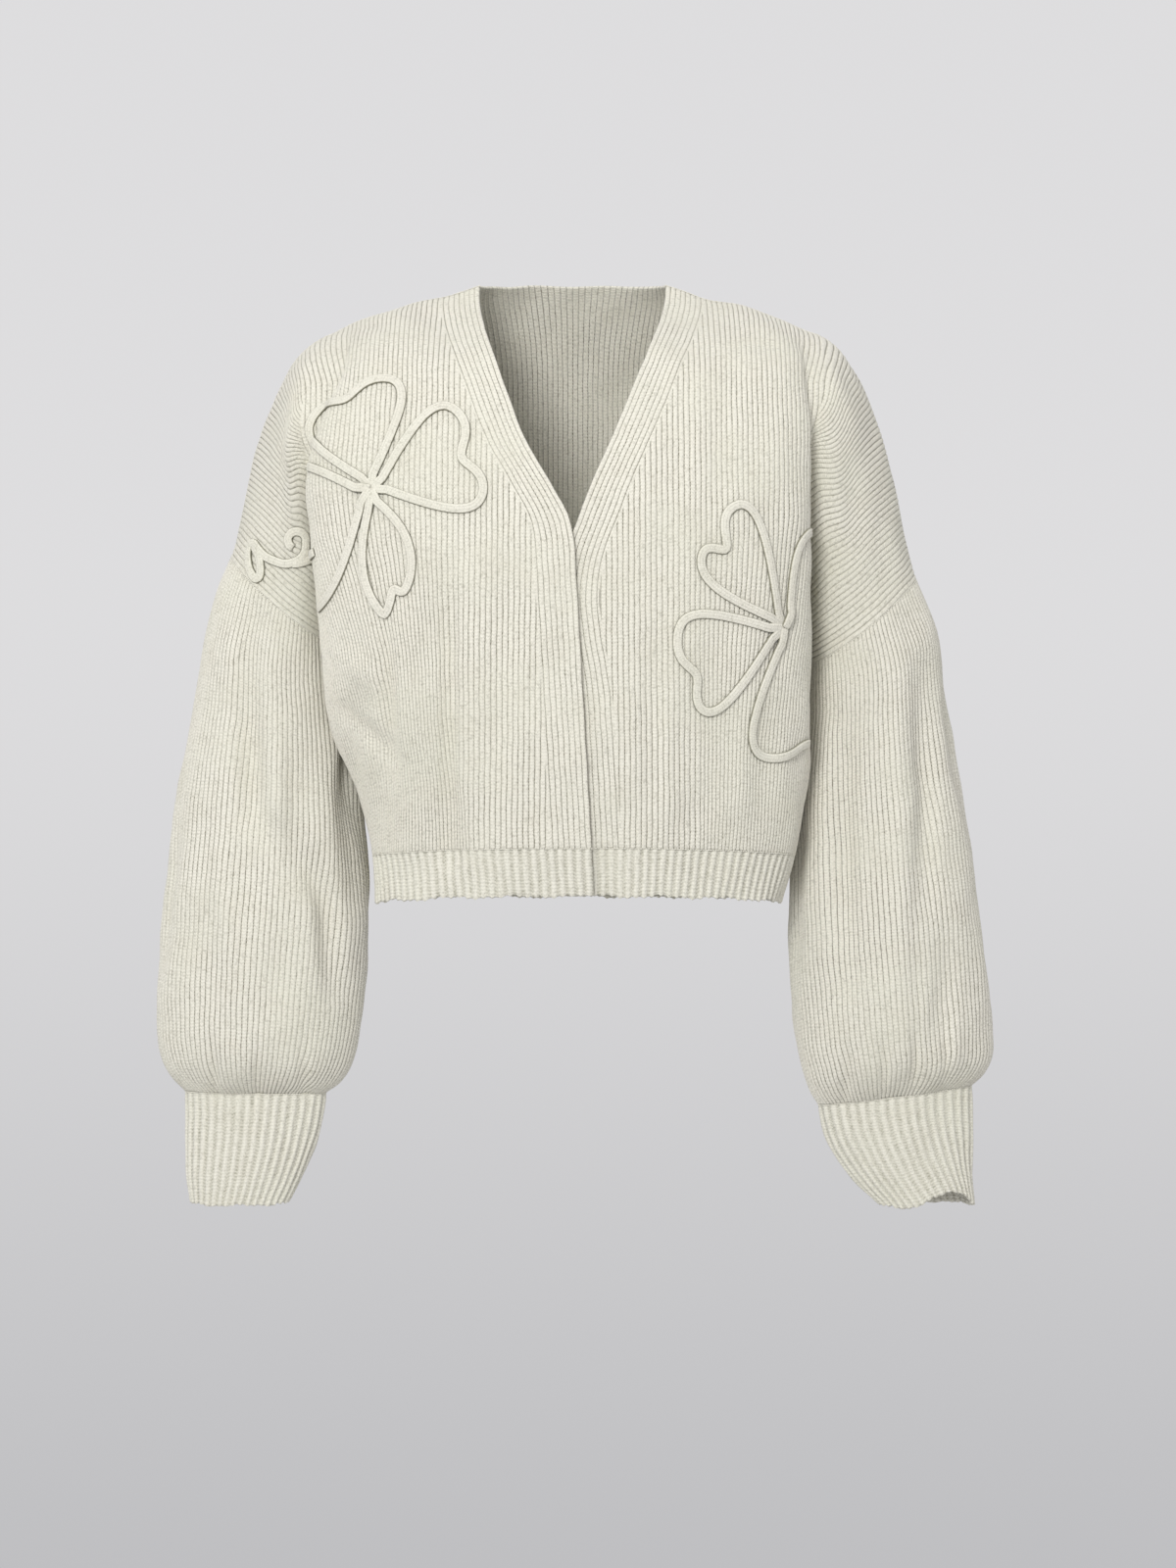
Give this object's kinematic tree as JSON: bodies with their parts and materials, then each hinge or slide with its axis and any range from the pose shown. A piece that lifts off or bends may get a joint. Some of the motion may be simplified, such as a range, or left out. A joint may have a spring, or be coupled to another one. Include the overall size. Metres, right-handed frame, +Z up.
{
  "type": "open-front rib-knit cardigan",
  "caption": "Cropped V-neck cardigan with an open front, drop shoulders, balloon sleeves, ribbed cuffs and hem, and flowers of applied cord, in its hollow worn form.",
  "frame": {"origin": "midway between the two neck points, where the shoulder seams meet the neck edge and the wearer's shoulders carry the garment", "axes": "+Z up, -Y out of the garment's front, +X towards the wearer's left sleeve"},
  "size_m": [0.652, 0.233, 0.7285],
  "materials": {
    "rib_knit": "ivory cotton-acrylic rib knit, matt and slightly fuzzy",
    "rib_trim": "ivory one-by-one rib, denser and matt",
    "applied_cord": "ivory knitted cord, matt"
  },
  "bodies": {
    "root": {"front_right": "rib_knit", "front_left": "rib_knit", "back": "rib_knit", "sleeve_right": "rib_knit", "sleeve_left": "rib_knit", "cuff_right": "rib_trim", "cuff_left": "rib_trim", "hem_rib_front_right": "rib_trim", "hem_rib_front_left": "rib_trim", "hem_rib_back": "rib_trim", "petal_right_1": "applied_cord", "petal_right_2": "applied_cord", "petal_right_3": "applied_cord", "petal_right_4a": "applied_cord", "petal_right_4b": "applied_cord", "petal_left_1": "applied_cord", "petal_left_2": "applied_cord", "petal_left_3": "applied_cord", "petal_left_4": "applied_cord", "curl_right": "applied_cord"}
  },
  "joints": []
}
